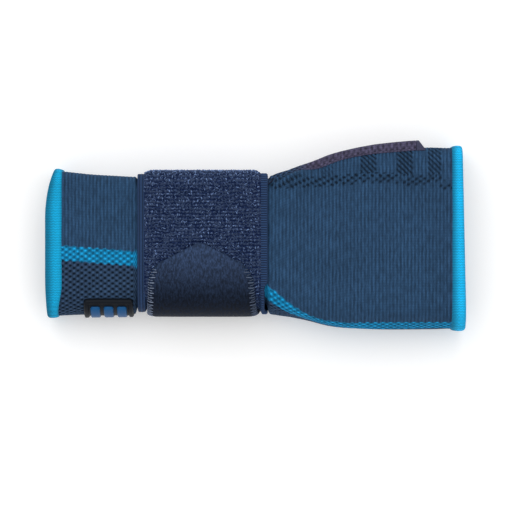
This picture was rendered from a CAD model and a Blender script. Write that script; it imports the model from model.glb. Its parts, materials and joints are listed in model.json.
"""A knitted wrist splint lying on its thumb side: knit sleeve, stretch hems, palm splint in its pocket,
rubber badge, and a hook and loop strap with a pointed tab.

Shapes are worked out in millimetres in the frame's axes (+X to the fingers, +Y to the palm, +Z up)
and stored in metres.
"""

import json
import math

import bpy
import numpy as np
from bpy.props import FloatProperty, FloatVectorProperty, IntProperty, PointerProperty
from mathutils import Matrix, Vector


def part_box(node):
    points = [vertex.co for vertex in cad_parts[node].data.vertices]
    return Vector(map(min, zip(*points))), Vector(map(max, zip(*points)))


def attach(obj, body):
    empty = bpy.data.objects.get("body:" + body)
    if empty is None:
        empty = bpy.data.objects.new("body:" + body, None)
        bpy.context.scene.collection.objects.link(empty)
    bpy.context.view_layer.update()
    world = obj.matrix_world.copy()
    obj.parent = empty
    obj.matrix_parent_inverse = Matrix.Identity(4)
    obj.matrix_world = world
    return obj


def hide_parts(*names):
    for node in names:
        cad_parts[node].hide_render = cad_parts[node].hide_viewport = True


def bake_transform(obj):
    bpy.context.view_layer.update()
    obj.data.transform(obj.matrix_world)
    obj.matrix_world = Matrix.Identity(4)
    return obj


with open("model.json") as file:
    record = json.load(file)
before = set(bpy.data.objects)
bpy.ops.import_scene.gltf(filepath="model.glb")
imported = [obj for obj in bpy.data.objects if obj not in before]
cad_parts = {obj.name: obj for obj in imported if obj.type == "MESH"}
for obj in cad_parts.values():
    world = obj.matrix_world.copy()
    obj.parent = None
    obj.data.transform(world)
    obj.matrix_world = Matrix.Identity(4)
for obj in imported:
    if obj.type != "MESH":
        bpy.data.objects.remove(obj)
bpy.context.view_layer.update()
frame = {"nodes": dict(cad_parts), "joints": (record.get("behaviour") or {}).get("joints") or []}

bl_info = {
    "name": "Knitted wrist splint",
    "version": (1, 0, 0),
    "blender": (4, 5, 0),
    "location": "View3D > Sidebar > Splint",
    "description": "Builds a knitted wrist splint round its packed frame, one piece at a time",
    "category": "Add Mesh",
}

MM = 0.001

# Corner radii of the sleeve and of the strap's inner ring, and that ring's thickness, in mm.
SLEEVE_PALM_R = 6.0
SLEEVE_BACK_R = 14.0
RING_PALM_R = 5.5
RING_BACK_R = 15.8
RING_THICKNESS = 1.5


# ---------------------------------------------------------------- places read from the frame

def cad_box(node):
    """Lowest and highest corner of a CAD node, in mm."""
    low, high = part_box(node)
    return np.array(low) / MM, np.array(high) / MM


def cad_points(node):
    mesh = frame["nodes"][node].data
    co = np.empty(len(mesh.vertices) * 3, np.float32)
    mesh.vertices.foreach_get("co", co)
    return co.reshape(-1, 3).astype(float) / MM


def smoothstep(x, start, end):
    t = np.clip((x - start) / (end - start), 0.0, 1.0)
    return t * t * (3.0 - 2.0 * t)


def sleeve_stations():
    """Rows of x, back y, palm y, low z and high z, wherever the CAD sleeve has a whole ring of points."""
    co = cad_points("sleeve_knit")
    x = np.round(co[:, 0], 1)
    rows = []
    for value, count in zip(*np.unique(x, return_counts=True)):
        if count > WHOLE_RING:
            ring = co[x == value]
            rows.append([value, ring[:, 1].min(), ring[:, 1].max(), ring[:, 2].min(), ring[:, 2].max()])
    return np.array(rows)


def softened(values, step, width):
    """A running average with a bell-shaped weight, width being its standard deviation."""
    reach = int(4 * width / step)
    weight = np.exp(-0.5 * (np.arange(-reach, reach + 1) * step / width) ** 2)
    padded = np.concatenate([np.full(reach, values[0]), values, np.full(reach, values[-1])])
    return np.convolve(padded, weight / weight.sum(), "valid")


WHOLE_RING = 100
STATIONS = sleeve_stations()
STRAP_LEFT, STRAP_RIGHT = cad_box("strap_band")[0][0], cad_box("strap_band")[1][0]
# The strap nips the sleeve in sharply. How far outside the strap's left edge the narrowing starts and ends,
# and how far outside its right edge the widening starts and ends: over the back edge, over the palm edge,
# and on the CAD outline.
NIP_BACK = (1.6, -0.4, -0.8, 0.3)
NIP_PALM = (0.9, -0.6, 0.3, 1.5)
NIP_CAD = (5.1, 1.1, 1.4, 4.9)
FINE_STEP = 0.25
FINE_X = np.arange(STATIONS[0, 0] - 12, STATIONS[-1, 0] + 12, FINE_STEP)
RAW_OUTLINE = [np.interp(FINE_X, STATIONS[:, 0], STATIONS[:, k]) for k in range(1, 5)]
CRISP_OUTLINE = [softened(v, FINE_STEP, 0.5) for v in RAW_OUTLINE]
SOFT_OUTLINE = [softened(v, FINE_STEP, 4.0) for v in RAW_OUTLINE]


def nip_places(nip):
    """The x of a nip's four places, between places further out that stay where they are."""
    start, end, leave, full = nip
    return [-120, -80, STRAP_LEFT - start, STRAP_LEFT - end, STRAP_RIGHT + leave, STRAP_RIGHT + full, 17, 120]


def nipped(x, nip):
    """The x of the CAD outline whose section the sleeve takes at x, steeper beside the strap."""
    return np.interp(x, nip_places(nip), nip_places(NIP_CAD))


def sleeve_outline(x):
    """Back, palm, low and high of the sleeve at x: crisp beside the strap, and smooth further out."""
    soft = 1 - smoothstep(x, -78, -68) + smoothstep(x, 12, 26)
    shape = []
    for k, (crisp, smooth) in enumerate(zip(CRISP_OUTLINE, SOFT_OUTLINE)):
        at = nipped(x, NIP_PALM if k == 1 else NIP_BACK)
        shape.append(np.interp(at, FINE_X, crisp) * (1 - soft) + np.interp(at, FINE_X, smooth) * soft)
    return shape


def half_girth(back, palm, low, high, palm_r, back_r):
    """Distance round the outline from the middle of its back edge to the middle of its palm edge."""
    corners = palm_r + back_r
    return (high - low - corners) + (palm - back - corners) + corners * math.pi / 2


def outline_point(w, back, palm, low, high, palm_r, back_r):
    """Point and outward normal (y, z, ny, nz) at distance w round an outline with rounded corners.

    w starts at the middle of the back edge. It grows over the top to the palm side, and falls
    over the underside. The normal's turn is the sum of what w has passed of each corner's arc.
    """
    side = np.where(w < 0, -1.0, 1.0)
    w = np.abs(w)
    middle = (low + high) / 2
    rise = high - back_r - middle
    flat = palm - palm_r - back - back_r
    top_start = rise + back_r * math.pi / 2
    palm_start = top_start + flat
    down_start = palm_start + palm_r * math.pi / 2
    a = np.clip((w - rise) / back_r, 0, math.pi / 2)
    b = np.clip((w - palm_start) / palm_r, 0, math.pi / 2)
    y = back + back_r * (1 - np.cos(a)) + np.clip(w - top_start, 0, flat) + palm_r * np.sin(b)
    up = (
        np.minimum(w, rise) + back_r * np.sin(a) - palm_r * (1 - np.cos(b))
        - np.clip(w - down_start, 0, None)
    )
    return y, middle + side * up, -np.cos(a + b), side * np.sin(a + b)


def standing_off(x, w, shape, off):
    """Points at x and w on an outline, moved off along its normal."""
    y, z, ny, nz = outline_point(w, *shape)
    return np.stack([x + 0 * w, y + ny * off, z + nz * off], -1)


def above_table(off, z, nz):
    """The relief off on an outline's points, cut down on its underside so that it stays above the table."""
    return np.where(nz < -0.3, np.minimum(off, (z - 0.02) / np.maximum(-nz, 0.3)), off)


def w_on_top(y, back, low, high, back_r):
    """The distance round the outline of the point at y on its top, flat part or back corner."""
    rise = (high - low) / 2 - back_r
    depth = np.clip((y - back) / back_r, 0, 1)
    return rise + back_r * np.arccos(1 - depth) + np.clip(y - back - back_r, 0, None)


# ---------------------------------------------------------------- meshes

def inside_out(co, faces):
    """Whether the faces of a closed mesh look inwards, which makes its signed volume negative."""
    volume = 0.0
    for group in faces:
        a = co[group[:, 0]]
        for k in range(1, group.shape[1] - 1):
            volume += np.einsum("ij,ij->", a, np.cross(co[group[:, k]], co[group[:, k + 1]]))
    return volume < 0


def new_piece(name, co, faces, uv, masks, material, flat=0):
    """A mesh object from points in mm, groups of faces of one size, UVs per corner in mm, masks per point.

    The last faces, as many as flat says, are shaded flat.
    """
    if inside_out(co, faces):
        faces, uv = ([group[:, ::-1] for group in groups] for groups in (faces, uv))
    mesh = bpy.data.meshes.new(name)
    corners = np.concatenate([group.ravel() for group in faces]).astype(np.int32)
    sizes = np.concatenate([np.full(len(group), group.shape[1]) for group in faces])
    starts = np.concatenate([[0], np.cumsum(sizes)[:-1]]).astype(np.int32)
    mesh.vertices.add(len(co))
    mesh.vertices.foreach_set("co", (co * MM).astype(np.float32).ravel())
    mesh.loops.add(len(corners))
    mesh.loops.foreach_set("vertex_index", corners)
    mesh.polygons.add(len(sizes))
    mesh.polygons.foreach_set("loop_start", starts)
    mesh.update(calc_edges=True)
    mesh.polygons.foreach_set("use_smooth", np.arange(len(sizes)) < len(sizes) - flat)
    corner_uv = np.concatenate([group.reshape(-1, 2) for group in uv]).astype(np.float32)
    mesh.uv_layers.new(name="UVMap").data.foreach_set("uv", corner_uv.ravel())
    for key, values in masks.items():
        colours = np.ones((len(co), 4), np.float32)
        colours[:, :3] = values
        mesh.attributes.new(key, "FLOAT_COLOR", "POINT").data.foreach_set("color", colours.ravel())
    made = bpy.data.objects.new(name, mesh)
    bpy.context.scene.collection.objects.link(made)
    if material is not None:
        mesh.materials.append(material)
    return made


def grid_quads(nu, nv, wrap_u, wrap_v):
    """Corner indices of a grid's quads, and the same corners' unwrapped row and column numbers."""
    i, j = np.indices((nu if wrap_u else nu - 1, nv if wrap_v else nv - 1))
    rows = np.stack([i, i + 1, i + 1, i], -1).reshape(-1, 4)
    columns = np.stack([j, j, j + 1, j + 1], -1).reshape(-1, 4)
    return (rows % nu) * nv + columns % nv, rows, columns


def crease(mesh, columns, count):
    """Marks the lengthwise edges sharp that run along the given columns of a grid with count columns."""
    ends = np.empty(len(mesh.edges) * 2, np.int32)
    mesh.edges.foreach_get("vertices", ends)
    column = ends.reshape(-1, 2) % count
    sharp = (column[:, 0] == column[:, 1]) & np.isin(column[:, 0], columns)
    mesh.attributes.new("sharp_edge", "BOOLEAN", "EDGE").data.foreach_set("value", sharp)


def sweep(name, sections, closed=False, uv=None, masks=None, material=None, creases=()):
    """A closed surface through sections (path step, place round the section, xyz), in mm.

    Every section is a closed loop. A closed path joins its ends, and an open one gets a flat cap at each
    end. uv has one more row and column than the sections where they wrap, so that patterns run on over
    the join.
    """
    nu, nv = sections.shape[:2]
    quads, rows, columns = grid_quads(nu, nv, closed, True)
    faces = [quads]
    if uv is None:
        around = np.linalg.norm(np.diff(sections[0], axis=0, append=sections[0][:1]), axis=1)
        along = np.linalg.norm(np.diff(sections[:, 0], axis=0, append=sections[:1, 0]), axis=1)
        u = np.concatenate([[0], np.cumsum(along)])
        v = np.concatenate([[0], np.cumsum(around)])
        uv = np.stack(np.meshgrid(u, v, indexing="ij"), -1)
    corner_uv = [uv[rows, columns]]
    if not closed:
        loop = np.arange(nv)[None]
        faces += [loop, (nu - 1) * nv + loop[:, ::-1]]
        corner_uv += [uv[0, :nv][None], uv[nu - 1, :nv][None, ::-1]]
    point_masks = {k: v.reshape(-1, 3) for k, v in (masks or {}).items()}
    flat = 0 if closed else 2
    made = new_piece(name, sections.reshape(-1, 3), faces, corner_uv, point_masks, material, flat)
    if len(creases):
        crease(made.data, creases, nv)
    return made


def threads(name, lines, radius, sides, material, masks):
    """Many short round threads: lines is (count, points, xyz) in mm, and each becomes a capped tube."""
    count, steps = lines.shape[:2]
    ahead = np.gradient(lines, axis=1)
    ahead /= np.linalg.norm(ahead, axis=2, keepdims=True)
    helper = np.where(np.abs(ahead[..., :1]) > 0.8, np.array([0.0, 0.0, 1.0]), np.array([1.0, 0.0, 0.0]))
    across = np.cross(ahead, helper)
    across /= np.linalg.norm(across, axis=2, keepdims=True)
    third = np.cross(ahead, across)
    turn = np.arange(sides) * 2 * math.pi / sides
    taper = np.ones(steps)
    taper[[0, -1]] = 0.6
    size = (radius * taper)[None, :, None, None]
    ring = np.cos(turn)[:, None] * across[:, :, None] + np.sin(turn)[:, None] * third[:, :, None]
    co = (lines[:, :, None] + size * ring).reshape(-1, 3)
    quads = grid_quads(steps, sides, False, True)[0]
    block = np.arange(count)[:, None, None] * steps * sides
    start = np.arange(sides)[None]
    ends = np.concatenate([start, (steps - 1) * sides + start[:, ::-1]])
    faces = [(block + quads).reshape(-1, 4), (block + ends).reshape(-1, sides)]
    uv = [f[..., None] * 0.0 + np.array([0.5, 0.5]) for f in faces]
    full = {k: np.repeat(v, steps * sides, axis=0) for k, v in masks.items()}
    return new_piece(name, co, faces, uv, full, material)


# ---------------------------------------------------------------- shader groups and materials

def shared_group(name, inputs, outputs):
    """Makes a function that fills a shader group of numbers into one that gives it, filled the first time.

    inputs are (name, default) and outputs are names.
    """
    def wrap(fill):
        def get():
            group = bpy.data.node_groups.get(name)
            if group is None:
                group = bpy.data.node_groups.new(name, "ShaderNodeTree")
                for label, default in inputs:
                    socket = group.interface.new_socket(label, in_out="INPUT", socket_type="NodeSocketFloat")
                    socket.default_value = default
                for label in outputs:
                    group.interface.new_socket(label, in_out="OUTPUT", socket_type="NodeSocketFloat")
                fill(group, group.nodes.new("NodeGroupInput"), group.nodes.new("NodeGroupOutput"))
            return group
        get.__doc__ = fill.__doc__
        return get
    return wrap


def add(tree, kind, **values):
    node = tree.nodes.new(kind)
    for key, value in values.items():
        setattr(node, key, value)
    return node


def math_node(tree, operation, *inputs, clamp=False):
    """A Math node whose inputs are sockets or numbers, giving its output socket."""
    node = add(tree, "ShaderNodeMath", operation=operation, use_clamp=clamp)
    for socket, value in zip(node.inputs, inputs):
        if isinstance(value, bpy.types.NodeSocket):
            tree.links.new(value, socket)
        else:
            socket.default_value = value
    return node.outputs[0]


def mix_colour(tree, factor, a, b, blend="MIX"):
    """A colour Mix node whose factor and colours are sockets or values."""
    node = add(tree, "ShaderNodeMix", data_type="RGBA", blend_type=blend)
    for index, value in ((0, factor), (6, a), (7, b)):
        if isinstance(value, bpy.types.NodeSocket):
            tree.links.new(value, node.inputs[index])
        else:
            node.inputs[index].default_value = (*value[:3], 1.0) if index else value
    return node.outputs[2]


def uv_parts(tree):
    """The two coordinates of the UV map, in mm."""
    place = add(tree, "ShaderNodeUVMap", uv_map="UVMap")
    parts = add(tree, "ShaderNodeSeparateXYZ")
    tree.links.new(place.outputs[0], parts.inputs[0])
    return parts.outputs[0], parts.outputs[1]


@shared_group("Knit stitches", [("Column mm", 0.9), ("Row mm", 0.7), ("Lean", 0.8)], ["Height", "Thread"])
def knit_group(group, start, end):
    """Rows of V-shaped stitches on the UV map, as a height and a mask of the thread's lit side.

    The stitch's height is a wave along the row, whose phase leans one way in one half column and the
    other way in the next, times a wave across the column.
    """
    u, v = uv_parts(group)
    column = math_node(group, "DIVIDE", u, start.outputs["Column mm"])
    row = math_node(group, "DIVIDE", v, start.outputs["Row mm"])
    lean = math_node(group, "MULTIPLY", math_node(group, "PINGPONG", column, 0.5), start.outputs["Lean"])
    phase = math_node(group, "MULTIPLY", math_node(group, "ADD", row, lean), 2 * math.pi)
    wave = math_node(group, "SINE", phase)
    half_turn = math_node(group, "MULTIPLY", column, math.pi)
    across = math_node(group, "ABSOLUTE", math_node(group, "SINE", half_turn))
    half = math_node(group, "MULTIPLY_ADD", wave, 0.5, 0.5)
    height = math_node(group, "MULTIPLY", half, math_node(group, "MULTIPLY_ADD", across, 0.6, 0.4))
    group.links.new(height, end.inputs["Height"])
    group.links.new(half, end.inputs["Thread"])


@shared_group("Open lattice", [("Pitch mm", 3.85), ("Row mm", 1.37)], ["Hole", "Crossing"])
def lattice_group(group, start, end):
    """How far into a hole, and into a crossing, the open knit is on the UV map, by the wave of lattice()."""
    u, v = uv_parts(group)
    across = math_node(group, "MULTIPLY", u, 2 * math.pi)
    a = math_node(group, "DIVIDE", across, start.outputs["Pitch mm"])
    b = math_node(group, "DIVIDE", math_node(group, "MULTIPLY", v, math.pi), start.outputs["Row mm"])
    rising = math_node(group, "COSINE", math_node(group, "ADD", a, b))
    falling = math_node(group, "COSINE", math_node(group, "SUBTRACT", a, b))
    wave = math_node(group, "MULTIPLY_ADD", rising, 0.5, math_node(group, "MULTIPLY", falling, 0.5))
    for label, low, high in (("Hole", 0.15, 0.75), ("Crossing", -0.1, -0.9)):
        group.links.new(ramp(group, wave, low, high), end.inputs[label])


@shared_group("Rib wave", [("Per mm U", 0.0), ("Per mm V", 0.0)], ["Rib"])
def rib_group(group, start, end):
    """A wave from 0 to 1 across the UV map, with so many ribs for each mm of U and of V."""
    u, v = uv_parts(group)
    turns = math_node(group, "MULTIPLY_ADD", u, start.outputs["Per mm U"],
                      math_node(group, "MULTIPLY", v, start.outputs["Per mm V"]))
    wave = math_node(group, "COSINE", math_node(group, "MULTIPLY", turns, 2 * math.pi))
    group.links.new(math_node(group, "MULTIPLY_ADD", wave, 0.5, 0.5), end.inputs["Rib"])


@shared_group("Fibre streaks", [("Per mm U", 2.0), ("Per mm V", 0.6)], ["Streak"])
def streak_group(group, start, end):
    """Noise on the UV map with its own scale along U and along V, drawn out as brushed fibres are."""
    u, v = uv_parts(group)
    place = add(group, "ShaderNodeCombineXYZ")
    group.links.new(math_node(group, "MULTIPLY", u, start.outputs["Per mm U"]), place.inputs[0])
    group.links.new(math_node(group, "MULTIPLY", v, start.outputs["Per mm V"]), place.inputs[1])
    noise = add(group, "ShaderNodeTexNoise", noise_dimensions="2D")
    noise.inputs["Scale"].default_value = 1.0
    noise.inputs["Detail"].default_value = 3.0
    noise.inputs["Roughness"].default_value = 0.6
    group.links.new(place.outputs[0], noise.inputs["Vector"])
    group.links.new(ramp(group, noise.outputs["Fac"], 0.3, 0.7), end.inputs["Streak"])


def ramp(tree, value, low, high):
    """0 to 1 as value goes from low to high, eased at both ends."""
    node = add(tree, "ShaderNodeMapRange", interpolation_type="SMOOTHSTEP")
    tree.links.new(value, node.inputs["Value"])
    node.inputs["From Min"].default_value = low
    node.inputs["From Max"].default_value = high
    return node.outputs[0]


@shared_group("Fabric unevenness", [("Patch scale", 60.0), ("Fibre scale", 1400.0)], ["Patch", "Fibre"])
def mottle_group(group, start, end):
    """Soft and fine unevenness on Object coordinates: a wide patchy value and a fine fibrous one."""
    place = add(group, "ShaderNodeTexCoord")
    for label, scale, detail in (("Patch", "Patch scale", 3.0), ("Fibre", "Fibre scale", 4.0)):
        noise = add(group, "ShaderNodeTexNoise", noise_dimensions="3D")
        noise.inputs["Detail"].default_value = detail
        group.links.new(place.outputs["Object"], noise.inputs["Vector"])
        group.links.new(start.outputs[scale], noise.inputs["Scale"])
        group.links.new(noise.outputs["Fac"], end.inputs[label])


def use_group(tree, group, **values):
    node = add(tree, "ShaderNodeGroup", node_tree=group)
    for key, value in values.items():
        node.inputs[key.replace("_", " ")].default_value = value
    return node


def new_material(name, roughness, sheen=0.0, sheen_roughness=0.5, specular=0.5, metallic=0.0, tint=None):
    """A material with one Principled BSDF, whose constant values sit on its own sockets."""
    material = bpy.data.materials.new(name)
    material.use_nodes = True
    tree = material.node_tree
    shader = tree.nodes["Principled BSDF"]
    shader.inputs["Roughness"].default_value = roughness
    shader.inputs["Sheen Weight"].default_value = sheen
    shader.inputs["Sheen Roughness"].default_value = sheen_roughness
    shader.inputs["Specular IOR Level"].default_value = specular
    shader.inputs["Metallic"].default_value = metallic
    if tint:
        shader.inputs["Sheen Tint"].default_value = (*tint[:3], 1.0)
    return material, tree, shader


def set_bump(tree, shader, height, strength, distance):
    bump = add(tree, "ShaderNodeBump")
    bump.inputs["Strength"].default_value = strength
    bump.inputs["Distance"].default_value = distance
    tree.links.new(height, bump.inputs["Height"])
    tree.links.new(bump.outputs[0], shader.inputs["Normal"])


def vary_roughness(tree, shader, value, low, high):
    spread = add(tree, "ShaderNodeMapRange")
    tree.links.new(value, spread.inputs["Value"])
    spread.inputs["To Min"].default_value = low
    spread.inputs["To Max"].default_value = high
    tree.links.new(spread.outputs[0], shader.inputs["Roughness"])


def finish_surface(tree, shader, tone, height, bump, rough_by, rough=(0.7, 0.95)):
    """Links a colour, a bump of (strength, distance) by a height, and a roughness between two values."""
    tree.links.new(tone, shader.inputs["Base Color"])
    set_bump(tree, shader, height, *bump)
    vary_roughness(tree, shader, rough_by, *rough)


def scaled(colour, factor):
    return tuple(min(1.0, c * factor) for c in colour[:3])


def zone_masks(tree):
    """The three zone masks of a piece, each 0 to 1."""
    mask = add(tree, "ShaderNodeAttribute", attribute_name="zones")
    zones = add(tree, "ShaderNodeSeparateColor")
    tree.links.new(mask.outputs["Color"], zones.inputs[0])
    return zones.outputs


def shaded(tree, colour, values):
    """The colour times each of the given grey values, which are (socket, lowest, highest)."""
    shade = 1.0
    for socket, low, high in values:
        value = math_node(tree, "MULTIPLY_ADD", socket, high - low, low)
        shade = math_node(tree, "MULTIPLY", value, shade)
    grey = add(tree, "ShaderNodeCombineColor")
    for socket in grey.inputs:
        tree.links.new(shade, socket)
    return mix_colour(tree, 1.0, colour, grey.outputs[0], "MULTIPLY")


def knit_material(name, base, stripe, pitch, row, rib, fibre=1400.0, mottle=0.3):
    """Knitted fabric with zone masks: stripe (red), open mesh (green), raised pattern's holes (blue)."""
    material, tree, shader = new_material(name, 0.8, 0.12, 0.45, 0.12, tint=scaled(base, 4))
    striped, open_mesh, raised_hole = zone_masks(tree)
    lattice_wave = use_group(tree, lattice_group(), Pitch_mm=pitch, Row_mm=row)
    ribs = use_group(tree, rib_group(), Per_mm_U=1 / rib)
    stitch = use_group(tree, knit_group(), Column_mm=rib / 2, Row_mm=0.8)
    uneven = use_group(tree, mottle_group(), Fibre_scale=fibre)
    crossing = lattice_wave.outputs["Crossing"]
    plain = mix_colour(tree, ribs.outputs["Rib"], scaled(base, 0.76), scaled(base, 1.26))
    greyer = (base[0] * 1.15, base[1] * 0.88, base[2] * 0.84)
    yarn = mix_colour(tree, crossing, scaled(greyer, 0.85), scaled(greyer, 1.5))
    bright = mix_colour(tree, crossing, scaled(stripe, 0.72), scaled(stripe, 1.35))
    colour = mix_colour(tree, open_mesh, plain, yarn)
    colour = mix_colour(tree, striped, colour, bright)
    deep = mix_colour(tree, striped, scaled(base, 0.18), scaled(stripe, 0.3))
    open_share = math_node(tree, "MULTIPLY_ADD", striped, 0.8, open_mesh, clamp=True)
    hole = math_node(tree, "MULTIPLY", open_share, lattice_wave.outputs["Hole"])
    hole = math_node(tree, "MAXIMUM", hole, raised_hole)
    colour = mix_colour(tree, hole, colour, deep)
    yarns = use_group(tree, streak_group(), Per_mm_U=0.95, Per_mm_V=0.2)
    colour = shaded(tree, colour, [
        (uneven.outputs["Patch"], 0.8, 1.2), (uneven.outputs["Fibre"], 1 - mottle, 1 + mottle),
        (stitch.outputs["Thread"], 0.84, 1.16), (yarns.outputs["Streak"], 0.78, 1.22),
    ])
    height = math_node(tree, "MULTIPLY_ADD", uneven.outputs["Fibre"], 0.4, stitch.outputs["Height"])
    height = math_node(tree, "MULTIPLY_ADD", hole, -1.5, height)
    finish_surface(tree, shader, colour, height, (0.4, 0.0002), uneven.outputs["Fibre"])
    return material


def plain_fabric(name, colour, column, row, bump, sheen, contrast, core=None):
    """Fine one-colour fabric: small stitches, fibres and a patchy shade.

    With a core, its zone mask (red) shades it from the first value to the second.
    """
    material, tree, shader = new_material(name, 0.825, sheen, 0.4, 0.2, tint=scaled(colour, 4))
    stitch = use_group(tree, knit_group(), Column_mm=column, Row_mm=row)
    uneven = use_group(tree, mottle_group())
    shadow, lit = scaled(colour, 1 - contrast), scaled(colour, 1 + contrast)
    tone = mix_colour(tree, stitch.outputs["Thread"], shadow, lit)
    shades = [(uneven.outputs["Patch"], 0.8, 1.2), (uneven.outputs["Fibre"], 0.7, 1.3)]
    if core:
        shades.append((zone_masks(tree)[0], *core))
    tone = shaded(tree, tone, shades)
    height = math_node(tree, "MULTIPLY_ADD", uneven.outputs["Fibre"], 0.5, stitch.outputs["Height"])
    finish_surface(tree, shader, tone, height, (bump, 0.00015), uneven.outputs["Fibre"])
    return material


def web_material(name, colour, tick, rib):
    """Strap web whose zone masks hold overlock ticks across the edge (red) and ribs along it (green)."""
    material, tree, shader = new_material(name, 0.8, 0.12, 0.4, 0.2, tint=scaled(colour, 4))
    ticked, ribbed, _ = zone_masks(tree)
    ticks = use_group(tree, rib_group(), Per_mm_V=1 / tick)
    ribs = use_group(tree, rib_group(), Per_mm_U=1 / rib)
    stitch = use_group(tree, knit_group(), Column_mm=0.55, Row_mm=0.5)
    uneven = use_group(tree, mottle_group())
    plain = mix_colour(tree, stitch.outputs["Thread"], scaled(colour, 0.7), scaled(colour, 1.3))
    rib_tone = mix_colour(tree, ribs.outputs["Rib"], scaled(colour, 0.55), scaled(colour, 1.5))
    tick_tone = mix_colour(tree, ticks.outputs["Rib"], scaled(colour, 0.45), scaled(colour, 1.9))
    tone = mix_colour(tree, ribbed, plain, rib_tone)
    tone = mix_colour(tree, ticked, tone, tick_tone)
    tone = shaded(tree, tone, [(uneven.outputs["Patch"], 0.8, 1.2), (uneven.outputs["Fibre"], 0.65, 1.35)])
    height = math_node(tree, "MULTIPLY_ADD", uneven.outputs["Fibre"], 0.5, stitch.outputs["Height"])
    finish_surface(tree, shader, tone, height, (0.5, 0.00015), uneven.outputs["Fibre"])
    return material


def brushed_material(name, colour, border):
    """Smooth brushed knit with fine streaks along the strap.

    It is a web border where the zone mask is red, and deeper in colour where it is green, as the nap lies
    over.
    """
    material, tree, shader = new_material(name, 0.65, 0.03, 0.35, 0.06, tint=scaled(colour, 4))
    bordered, deep, _ = zone_masks(tree)
    streaks = use_group(tree, streak_group(), Per_mm_U=0.95, Per_mm_V=0.4)
    fine = use_group(tree, streak_group(), Per_mm_U=2.6, Per_mm_V=1.0)
    uneven = use_group(tree, mottle_group())
    tone = mix_colour(tree, streaks.outputs["Streak"], scaled(colour, 0.58), scaled(colour, 1.42))
    edge = mix_colour(tree, fine.outputs["Streak"], scaled(border, 0.5), scaled(border, 1.3))
    tone = mix_colour(tree, bordered, tone, edge)
    tone = shaded(tree, tone, [(fine.outputs["Streak"], 0.7, 1.3), (uneven.outputs["Patch"], 0.85, 1.15),
                               (deep, 1.0, 0.22)])
    height = math_node(tree, "MULTIPLY_ADD", fine.outputs["Streak"], 0.5, streaks.outputs["Streak"])
    finish_surface(tree, shader, tone, height, (0.4, 0.0001), streaks.outputs["Streak"], (0.5, 0.72))
    return material


def nap_material(name, dark, light):
    """Napped pile whose zone mask (red) is the height: dark between the tufts and pale at their tops."""
    material, tree, shader = new_material(name, 0.85, 0.2, 0.4, 0.15, tint=scaled(light, 2))
    height_mask, _, _ = zone_masks(tree)
    fine = use_group(tree, streak_group(), Per_mm_U=2.6, Per_mm_V=2.6)
    uneven = use_group(tree, mottle_group(), Fibre_scale=2200.0)
    lowered = math_node(tree, "SUBTRACT", height_mask, 0.25)
    level = math_node(tree, "MULTIPLY_ADD", fine.outputs["Streak"], 0.5, lowered)
    tone = mix_colour(tree, ramp(tree, level, 0.1, 0.95), dark, light)
    tone = shaded(tree, tone, [(uneven.outputs["Fibre"], 0.6, 1.4)])
    height = math_node(tree, "ADD", fine.outputs["Streak"], uneven.outputs["Fibre"])
    finish_surface(tree, shader, tone, height, (0.6, 0.0002), uneven.outputs["Fibre"], (0.75, 0.95))
    return material


def thread_material(name, dark, light, sheen=0.4):
    """Yarn whose shade mask (red) goes from dark to light."""
    material, tree, shader = new_material(name, 0.75, sheen, 0.35, 0.3, tint=scaled(light, 2))
    uneven = use_group(tree, mottle_group(), Fibre_scale=2200.0)
    tone = mix_colour(tree, zone_masks(tree)[0], dark, light)
    tree.links.new(tone, shader.inputs["Base Color"])
    vary_roughness(tree, shader, uneven.outputs["Fibre"], 0.6, 0.9)
    return material


def solid_material(name, colour, rough, metallic=0.0, grain=900.0, bump=0.15, specular=0.5, stretch=None):
    """Plastic, rubber or metal: a fine grain in colour, roughness and height, drawn out by stretch."""
    material, tree, shader = new_material(name, sum(rough) / 2, 0.0, 0.5, specular, metallic)
    place = add(tree, "ShaderNodeTexCoord")
    mapping = add(tree, "ShaderNodeMapping")
    mapping.inputs["Scale"].default_value = stretch or (1.0, 1.0, 1.0)
    tree.links.new(place.outputs["Object"], mapping.inputs["Vector"])
    noise = add(tree, "ShaderNodeTexNoise")
    noise.inputs["Scale"].default_value = grain
    noise.inputs["Detail"].default_value = 4.0
    tree.links.new(mapping.outputs[0], noise.inputs["Vector"])
    tone = mix_colour(tree, noise.outputs["Fac"], scaled(colour, 0.85), scaled(colour, 1.15))
    finish_surface(tree, shader, tone, noise.outputs["Fac"], (bump, 0.0001), noise.outputs["Fac"], rough)
    return material


# ---------------------------------------------------------------- what a user may change

def length_property(name, description, default, low, high):
    return FloatProperty(name=name, description=description, default=default,
                         min=low, max=high, unit="LENGTH")


class SplintSizes(bpy.types.PropertyGroup):
    """Sizes of the knit, the pile and the stitches."""

    rib_pitch: length_property("Rib pitch", "Between ribs of the plain knit", 0.00178, 0.001, 0.004)
    rib_height: length_property("Rib height", "How far a rib stands up", 0.00007, 0.0, 0.0005)
    hole_pitch: length_property("Hole pitch", "Between holes along a row of the mesh", 0.00385, 0.002, 0.008)
    hole_row: length_property("Hole row", "Between rows of holes", 0.00137, 0.001, 0.004)
    hole_depth: length_property("Hole depth", "How deep a mesh hole is", 0.0006, 0.0, 0.001)
    stripe_width: length_property("Stripe width", "Width of the bright stripe", 0.0072, 0.002, 0.015)
    loop_spacing: length_property("Loop spacing", "Between loops of the strap's pile", 0.00122, 0.0008, 0.004)
    loop_height: length_property("Loop height", "How far a loop stands out", 0.00075, 0.0002, 0.0015)
    stitch_pitch: length_property("Stitch pitch", "Between edge stitches on the tab", 0.0013, 0.0008, 0.006)
    stitch_count: IntProperty(name="Patch stitches", description="Stitches along each row of the patch",
                              default=16, min=4, max=40)


def colour_property(name, description, default):
    return FloatVectorProperty(name=name, description=description, default=default,
                               subtype="COLOR", size=3, min=0.0, max=1.0)


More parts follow.
